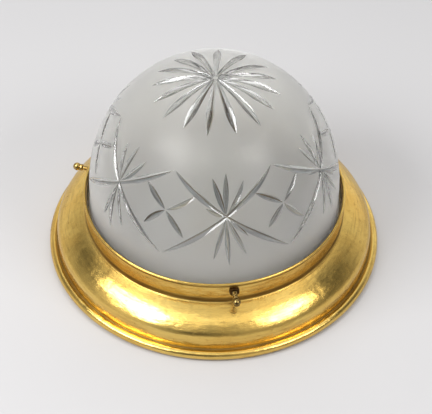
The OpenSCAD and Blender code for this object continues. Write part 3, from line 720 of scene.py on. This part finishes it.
cuts = {
    "seed": 11, "count": 6, "stars": -84.0, "starLatitude": 26.4, "topLatitude": 43.6, "footLatitude": 5.7,
    # slopes of a cut's two flanks in degrees: one shallow and one steep, or alike, and how far they drift
    "shallow": (26, 34), "steep": (40, 50), "even": (38, 46), "drift": 4,
    # full width in mm, how much it varies as a share, and what the width loses so that the ends run out
    "side": (6.3, 0.08, 0.12), "arm": (5.5, 0.1, 0.12), "petal": (4.7, 0.12, 0.1), "ray": (7.3, 0.08, 0.12),
    # pointed cuts: share of the way on which they start, power of their shape, how far a tip misses its place
    "armTip": (0.02, 2.4, 0.7, 0.6), "petalTip": (0.03, 2.0, 0.9, 1.2),
    # petals of a star: azimuth and latitude of each tip from its middle, share of the full width
    "petals": [(-7.6, 15.3, 0.95), (0.9, 18.0, 1.0), (10.2, 15.2, 0.95), (-6.1, -20.5, 0.9),
               (1.2, -22.5, 1.0), (8.7, -18.4, 0.9), (-9.8, 4.6, 0.8), (10.7, -9.0, 0.9)],
    # arms of the cross in a lozenge: azimuth from its middle and latitude of each tip
    "arms": [(-13.7, 34.6), (13.5, 34.7), (-10.6, 17.7), (10.1, 15.6)],
    "crossLatitude": 26.3,
    # rays of the crown star: azimuths cut by hand, how far out their tips lie, and how far they miss
    "rays": [-95.7, -71.3, -46.7, -23.6, -1.7, 18.5, 36.7, 60.8, 87.2, 112.1, 132.3, 152.5, 173.8, 194.8,
             217.6, 241.0],
    "rayRadius": 56.0, "rayHub": 2.2, "rayRoundness": 1.45, "rayMiss": (1.5, 0.8), "rayGroups": 4,
    "samples": {"side": 61, "pointed": 31, "ray": 45},
}


# Width along a pointed cut: w(t) = 1 - |2t - 1|^power
def lens(count, power):
    t = np.linspace(0, 1, count)
    return t, 1 - np.abs(2 * t - 1) ** power


# Width along a side cut, t from -1 to 1: (w + (1 - w) sin^2(pi |t|)) (1 - |t|^6), slimmer in its middle
def sideShape(t, waist=0.62):
    return (waist + (1 - waist) * np.sin(math.pi * np.abs(t)) ** 2) * (1 - np.abs(t) ** 6)


# Width along a ray: neck + (1 - neck) (t / peak)^1.2 up to the peak, then 1 - ((t - peak) / (1 - peak))^2,
# times min(1, hub + t / 0.14), which narrows it where the rays meet
def rayShape(t, peak=0.66, neck=0.42, power=1.2, hub=0.3, hubLength=0.14):
    rising = neck + (1 - neck) * (t / peak) ** power
    falling = 1 - (np.maximum(t - peak, 0) / (1 - peak)) ** 2
    return np.where(t < peak, rising, falling) * np.minimum(1, hub + t / hubLength)


# Every cut on the dome, in groups whose members don't touch
def cutGroups(c, s):
    rng = np.random.default_rng(c["seed"])
    step = 360 / c["count"]
    centres = c["stars"] + step * np.arange(c["count"])
    groups = []

    def wobble(amount):
        return rng.uniform(-amount, amount)

    def widths(kind, w, share=1.0):
        full, varies, runOut = c[kind]
        return full * share * (1 + wobble(varies)) * w - runOut

    # the uneven pair is drawn for an even cut too, which keeps the later draws in their order
    def slopes(t, even=False):
        pair = [rng.uniform(*c["shallow"]), rng.uniform(*c["steep"])]
        rng.shuffle(pair)
        if even:
            pair = [rng.uniform(*c["even"]), rng.uniform(*c["even"])]
        return np.stack([a + c["drift"] * np.sin(rng.uniform(1, 4) * t + rng.uniform(0, tau)) for a in pair])

    # one cut at each middle, out to a tip that is given from there
    def pointed(kind, middles, latitude, tip, share=1.0):
        start, power, missAzimuth, missLatitude = c[kind + "Tip"]
        t, w = lens(c["samples"]["pointed"], power)
        out = start + (1 - start) * t
        group = []
        for middle in middles:
            width = widths(kind, w, share)
            reach = tip[0] + wobble(missAzimuth), tip[1] + wobble(missLatitude)
            group.append(wheelCut(middle + reach[0] * out, latitude + reach[1] * out, width, slopes(t), s))
        return group

    t = np.linspace(-1, 1, c["samples"]["side"])
    up, low, mid = c["topLatitude"], c["footLatitude"], c["starLatitude"]
    latitude = mid + (up - low) / 2 * t + ((up + low) / 2 - mid) * t * t
    for lean in (-1, 1):
        group = []
        for middle in centres:
            width = widths("side", sideShape(t))
            group.append(wheelCut(middle - lean * step / 2 * t, latitude, width, slopes(t, True), s))
        groups.append(group)
    cross = c["crossLatitude"]
    for azimuth, tipLatitude in c["arms"]:
        groups.append(pointed("arm", centres + step / 2, cross, (azimuth, tipLatitude - cross)))
    for azimuth, rise, share in c["petals"]:
        groups.append(pointed("petal", centres, mid, (azimuth, rise), share))
    missReach, missAzimuth = c["rayMiss"]
    for first in range(c["rayGroups"]):
        group = []
        for azimuth in c["rays"][first::c["rayGroups"]]:
            r = np.linspace(c["rayHub"], c["rayRadius"] + wobble(missReach), c["samples"]["ray"])
            t = (r - r[0]) / (r[-1] - r[0])
            width = widths("ray", rayShape(t))
            path = azimuth + wobble(missAzimuth) * t
            latitude = np.degrees(np.arccos(r / s["radius"]))
            group.append(wheelCut(path, latitude, width, slopes(t, True), s, c["rayRoundness"]))
        groups.append(group)
    return groups


def clearGlass(name, tint, rough):
    return mottled(name, tint, [c + 3 for c in tint], rough, clear)


# Exact corner normals: the ellipsoid's own on the skins, each flank's own in the cuts, and flat elsewhere
def smoothDome(mesh, s, cutSlot):
    counts = read(mesh.polygons, "loop_total", kind=np.int32)
    face = np.repeat(np.arange(len(counts)), counts)
    p = read(mesh.vertices, "co", 3)[read(mesh.loops, "vertex_index", kind=np.int32)] / mm
    flat = read(mesh.polygons, "normal", 3)[face]
    inCut = read(mesh.polygons, "material_index", kind=np.int32)[face] == cutSlot
    flank = read(mesh.attributes["flank"].data, "vector", 3)
    size = np.linalg.norm(flank, axis=1)
    flank /= np.maximum(size, 1e-6)[:, None]
    skin = domeNormal(p, s)
    skin[p[:, 2] < s["centre"], 2] = 0  # below the ellipsoid the wall is a cylinder
    skin /= np.linalg.norm(skin, axis=1, keepdims=True)
    skin *= np.sign(np.einsum("ij,ij->i", skin, flat))[:, None]
    skinAgrees = np.einsum("ij,ij->i", skin, flat) > s["skinMatch"]
    flankAgrees = np.einsum("ij,ij->i", flank, flat) > s["flankMatch"]
    onSkin = ~inCut & skinAgrees & (p[:, 2] > s["seat"] + s["lipHeight"] + s["aboveLip"])
    onFlank = inCut & (size > 0.5) & flankAgrees
    flat[onSkin] = skin[onSkin]
    flat[onFlank] = flank[onFlank]
    smooth(mesh, s["sharp"])
    mesh.normals_split_custom_set(flat.tolist())
    mesh.attributes.remove(mesh.attributes["flank"])


def makeDome(s, c):
    mesh = meshFromGrid("domeGlass", revolve(domeProfile(s), s["steps"]), sharp=0)
    frostSlot, clearSlot, cutSlot = range(3)
    glass = [mottled("frostedGlass", (236, 234, 228), (242, 240, 234), (0.46, 0.54), frosted),
             clearGlass("plainGlass", (250, 252, 251), (0.01, 0.03)),
             mottled("cutGlass", (248, 249, 247), (254, 254, 252), (0.05, 0.11), wheelCutGlass)]
    # outside the ellipsoid through the middle of the wall, and above the lip
    x, y, z = read(mesh.polygons, "center", 3).T / mm
    across = np.hypot(x, y) / (s["radius"] - s["wall"] / 2)
    above = np.maximum(z - s["centre"], 0) / (s["rise"] - s["wall"] / 2)
    frost = (across ** 2 + above ** 2 > 1) & (z > s["seat"] + s["lipHeight"])
    setSlots(mesh, np.where(frost, frostSlot, clearSlot))
    obj = makeObject("domeGlass", mesh, glass, "lamp", ["glass_dome"])
    wheels = [wedgeMesh(f"wheel{k}", group) for k, group in enumerate(cutGroups(c, s))]
    for wheel in wheels:
        for material in glass:
            wheel.materials.append(material)
        setSlots(wheel, cutSlot)
    smoothDome(carve(obj, wheels), s, cutSlot)


makeDome(dome, cuts)
print("dome made")


# Fittings inside: two colours, then the roughness where the first and the second are
def metal(scale=60):
    return {"cloud": (scale, 4, 0.6), "contrast": (0.36, 0.64), "grain": (500, 2), "relief": (0.00004, 0.35),
            "surface": {"Metallic": 1.0}}


def glaze(coat):
    return {"cloud": (50, 4, 0.6), "contrast": (0.35, 0.65), "grain": (120, 3), "relief": (0.0001, 0.2),
            "surface": {"Coat Weight": coat, "Coat Roughness": 0.06}}


finishes = {
    "aged_brass": dullBrass("seatBrass"),
    "dark_brass": mottled("oxidisedBrass", (36, 24, 14), (92, 66, 34), (0.50, 0.30), metal()),
    "screw_brass": mottled("turnedBrass", (98, 77, 44), (190, 162, 98), (0.22, 0.12), metal(120)),
    "tip_fibre": mottled("fibre", (62, 38, 24), (96, 60, 38), (0.6, 0.8), glaze(0.0)),
    "strap_steel": mottled("zincSteel", (150, 152, 156), (182, 184, 186), (0.40, 0.26), metal(140)),
    "porcelain": mottled("porcelain", (206, 198, 180), (226, 221, 208), (0.10, 0.20), glaze(0.5)),
    "contact_brass": mottled("stampedBrass", (134, 98, 50), (204, 164, 92), (0.40, 0.24), metal()),
    "screw_steel": mottled("brightSteel", (120, 118, 114), (176, 176, 176), (0.36, 0.22), metal(200)),
    "live_sleeve": mottled("brownSleeve", (80, 46, 30), (104, 62, 40), (0.35, 0.5), glaze(0.1)),
    "neutral_sleeve": mottled("blueSleeve", (42, 72, 124), (56, 92, 150), (0.35, 0.5), glaze(0.1)),
    "earth_sleeve": mottled("greenSleeve", (66, 108, 48), (92, 140, 62), (0.35, 0.5), glaze(0.1)),
    "bulb_glass": clearGlass("bulbGlass", (250, 250, 246), (0.005, 0.015)),
    "cap_metal": mottled("rolledMetal", (150, 142, 126), (206, 200, 186), (0.40, 0.24), metal(110)),
    "black_glass": mottled("blackGlass", (8, 8, 8), (18, 17, 16), (0.05, 0.12), glaze(0.6)),
    "solder": mottled("solder", (126, 120, 112), (178, 172, 162), (0.5, 0.34), metal(300)),
    "filament": mottled("filamentWire", (60, 58, 56), (96, 92, 90), (0.6, 0.4), metal(400)),
}


# 0 on the crest and 1 in the root of a V thread with short flats, phase in turns
def threadWave(phase, flat=0.2):
    v = np.abs((phase % 1) * 2 - 1)
    return np.clip((v - flat) / (1 - 2 * flat), 0, 1)


# 0 outside a span and 1 in its middle, with a straight slope over each end
def fadeEnds(x, low, high, over):
    return np.clip((x - low) / over, 0, 1) * np.clip((high - x) / over, 0, 1)


# r(x) of the turned shape, less depth * wave(x / pitch - turn) along the threaded shaft
def makeThumbScrew(s, k, material):
    collar, r, radius = s["collar"], s["collarRadius"], s["radius"]
    back, shoulder, edge = collar + s["collarLength"], s["shoulder"], s["collarEdge"]
    chamfer, drop = s["chamfer"]
    threadStart, root = s["start"] + chamfer, radius - s["undercut"]
    shaft = np.linspace(threadStart, s["threadEnd"], s["threadRows"])
    ballStart = math.degrees(math.acos((back - s["ball"]) / s["ballRadius"]))
    profile = joinProfile(
        [[s["start"], 0], [s["start"], radius - drop]],
        np.column_stack([shaft, np.full(len(shaft), radius)]),
        [[s["threadEnd"] + chamfer, root], [collar - s["undercutSlope"], root], [collar, radius]],
        arcPoints((collar + shoulder + 0.1, r - shoulder), shoulder, 140, 90, 8),
        arcPoints((back - edge, r - edge), edge, 90, 0, 6),
        arcPoints((s["ball"], 0), s["ballRadius"], ballStart, 0, 34),
    )
    profile[-1, 1] = 0
    turn = np.arange(s["steps"]) / s["steps"]
    x, rad = spread(profile, turn)
    onShaft = fadeEnds(x, threadStart, s["threadEnd"], s["fade"]) * (rad > radius - 0.1)
    rad = rad - s["depth"] * onShaft * threadWave(x / s["pitch"] - turn)
    name = f"thumbScrew{k + 1}"
    mesh = meshFromGrid(name, onScrewAxis(s, k, x, rad, turn * tau), sharp=38)
    makeObject(name, mesh, [material], f"screw_{k + 1}", [f"thumb_screw_{k + 1}"])


# A rounded disc whose back follows the neck, x = sqrt(neck^2 - y^2), with its shank through the wall.
# Rows on the back have x = 0 in the profile. The outline wavers by 1 - w (1 + cos(4 t + k)).
def makeBoss(s, k, neck):
    rounding, front, edge = s["rounding"], s["bossEnd"], s["boreEdge"]
    profile = joinProfile(
        [[s["shankStart"], s["bore"]], [front - edge, s["bore"]]],
        arcPoints((front - edge, s["bore"] + edge), edge, -90, 0, 4),
        arcPoints((front - rounding, s["boss"] - rounding), rounding, 0, 90, 8),
        [[0.0, s["boss"]], [0.0, s["shank"]], [s["shankStart"], s["shank"]]],
    )
    turn = np.arange(s["bossSteps"]) / s["bossSteps"] * tau
    x, rad = spread(profile, turn)
    rad = rad * (1 - s["waver"] * (1 + np.cos(4 * turn + k)) * (rad > s["shank"] + 0.5) * (x != 0))
    x = np.where(x == 0, np.sqrt(neck ** 2 - (rad * np.cos(turn)) ** 2) + s["offNeck"], x)
    return meshFromGrid(f"boss{k + 1}", onScrewAxis(s, k, x, rad, turn), wrapV=True, sharp=38)


for k in range(3):
    makeThumbScrew(screws, k, finishes["screw_brass"])
bosses = joinMeshes("bosses", [makeBoss(screws, k, ring["neck"]) for k in range(3)])
makeObject("bosses", bosses, [finishes["dark_brass"]], "lamp", ["screw_bosses"])
print("screws made")


# Bulb cap and holder shell, with one rolled thread
screwThread = {
    "pitch": 3.63, "depth": 0.9, "fade": 1.2, "capRadius": 13.1, "shellRadius": 13.2, "sheet": 0.4,
    "shellSheet": 0.5, "cap": (26.1, 48.1), "capThread": (28.9, 40.6), "shell": (16.0, 38.0),
    "shellThread": (19.5, 37.2), "flange": 9.6, "steps": 120, "capRows": 150, "shellRows": 140,
}


# A rolled thread's dip: depth * (1 - cos(2 pi (z / pitch - turn))) / 2, with f^2 (3 - 2 f) over its ends
def rolled(s, z, turn, span):
    fade = fadeEnds(z, *span, s["fade"])
    fade = fade * fade * (3 - 2 * fade)
    return s["depth"] * fade * (1 - np.cos(tau * (z / s["pitch"] - turn))) / 2


# The outside is cap radius - dip(z, turn), and the inside lies one sheet further in
def makeCap(s, material):
    turn = np.arange(s["steps"]) / s["steps"]
    z = np.linspace(*s["cap"], s["capRows"])[:, None] + 0 * turn
    outer = s["capRadius"] - rolled(s, z, turn, s["capThread"])
    r, z = np.vstack([outer, outer[::-1] - s["sheet"]]), np.vstack([z, z[::-1]])
    mesh = meshFromGrid("capThread", turned(r, z, turn * tau), wrapV=True, sharp=50)
    makeObject("capThread", mesh, [material], "bulb", ["bulb_cap"])


# The inside is shell radius - dip(z, turn), the outside lies one sheet further out, and a flange is below
def makeShell(s, material):
    turn = np.arange(s["steps"]) / s["steps"]
    (low, high), sheet, flange = s["shell"], s["shellSheet"], s["flange"]
    z = np.linspace(low + sheet, high, s["shellRows"])[:, None] + 0 * turn
    inner = s["shellRadius"] - rolled(s, z, turn, s["shellThread"])
    foot = spread(np.array([(s["shellRadius"] + sheet, low), (flange, low), (flange, low + sheet)]), turn)
    r, z = np.vstack([inner, inner[::-1] + sheet, foot[0]]), np.vstack([z, z[::-1], foot[1]])
    mesh = meshFromGrid("shellThread", turned(r, z, turn * tau), wrapV=True, sharp=50)
    makeObject("shellThread", mesh, [material], "lamp", ["holder_shell"])


bulb = {"neck": 12.65, "foot": 41.1, "capTop": 48.1, "globe": 30.0, "globeZ": 95.6, "edge": -38, "wall": 0.8,
        "steps": 128, "shoulderRows": 40, "globeRows": 64}


# A blown bulb turned round Z: neck line, shoulder and arc, and the same less the wall inside. The shoulder
# is the cubic Bezier (1 - t)^3 a + 3 t (1 - t)^2 b + 3 t^2 (1 - t) c + t^3 d.
def makeBulb(s, material):
    edge, wall = math.radians(s["edge"]), s["wall"]
    start = np.array([s["neck"], s["capTop"]])
    end = np.array([s["globe"] * math.cos(edge), s["globeZ"] + s["globe"] * math.sin(edge)])
    pull = (end[1] - s["capTop"]) / 2
    b, c = start + [0, pull], end - pull * np.array([-math.sin(edge), math.cos(edge)])
    t = np.linspace(0, 1, s["shoulderRows"])[:, None]
    shoulder = (1 - t) ** 3 * start + 3 * t * (1 - t) ** 2 * b + 3 * t * t * (1 - t) * c + t ** 3 * end

    def side(thick, skip):
        neck = linePoints((s["neck"] - thick, s["foot"]), start - [thick, 0], 6)
        globe = arcPoints((0, s["globeZ"]), s["globe"] - thick, s["edge"] + skip, 90, s["globeRows"])
        return joinProfile(neck, shoulder - [thick, 0], globe)

    outer, inner = side(0, 1), side(wall, 2)
    outer[-1, 0] = inner[-1, 0] = 0
    mesh = meshFromGrid("bulbShell", revolve(np.vstack([outer[::-1], inner]), s["steps"]), sharp=60)
    makeObject("bulbShell", mesh, [material], "bulb", ["bulb_glass"])


# Rings round a path: P(i, k) = p_i + r (cos k side_i + sin k up_i), closed to a point at both ends
def tubePoints(path, radius, sides):
    t = np.gradient(path, axis=0)
    t /= np.linalg.norm(t, axis=1, keepdims=True)
    side = np.cross(t, [0.0, 0.0, 1.0])
    side /= np.linalg.norm(side, axis=1, keepdims=True)
    up = np.cross(side, t)
    k = (np.arange(sides) * tau / sides)[None, :, None]
    rings = path[:, None] + radius * (np.cos(k) * side[:, None] + np.sin(k) * up[:, None])
    ends = np.repeat(path[[0, -1]][:, None], sides, 1)
    return np.concatenate([ends[:1], rings, ends[1:]])


coil = {"radius": 13.0, "gap": 60, "height": 113.6, "loop": 0.28, "wire": 0.09, "turns": 170, "perTurn": 10,
        "sides": 6}


# A fine helix round an arc: centre (R cos a, R sin a, z) plus loop (cos b outwards + sin b up)
def makeFilament(s, material):
    n = s["turns"] * s["perTurn"]
    a = np.radians(np.linspace(s["gap"] / 2, 360 - s["gap"] / 2, n))
    b = np.arange(n) * tau / s["perTurn"]
    path = turned(s["radius"] + s["loop"] * np.cos(b), s["height"] + s["loop"] * np.sin(b), a)
    mesh = meshFromGrid("filamentCoil", tubePoints(path, s["wire"], s["sides"]), sharp=0)
    makeObject("filamentCoil", mesh, [material], "bulb", ["bulb_filament"])


makeCap(screwThread, finishes["cap_metal"])
makeBulb(bulb, finishes["bulb_glass"])
makeShell(screwThread, finishes["contact_brass"])
makeFilament(coil, finishes["filament"])
print("lamp holder and bulb made")

for name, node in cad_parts.items():
    if name not in replacedNodes:
        slot = node.data.materials[0].name.split(".")[0]
        node.data.materials[0] = finishes[slot]
print("fittings dressed")
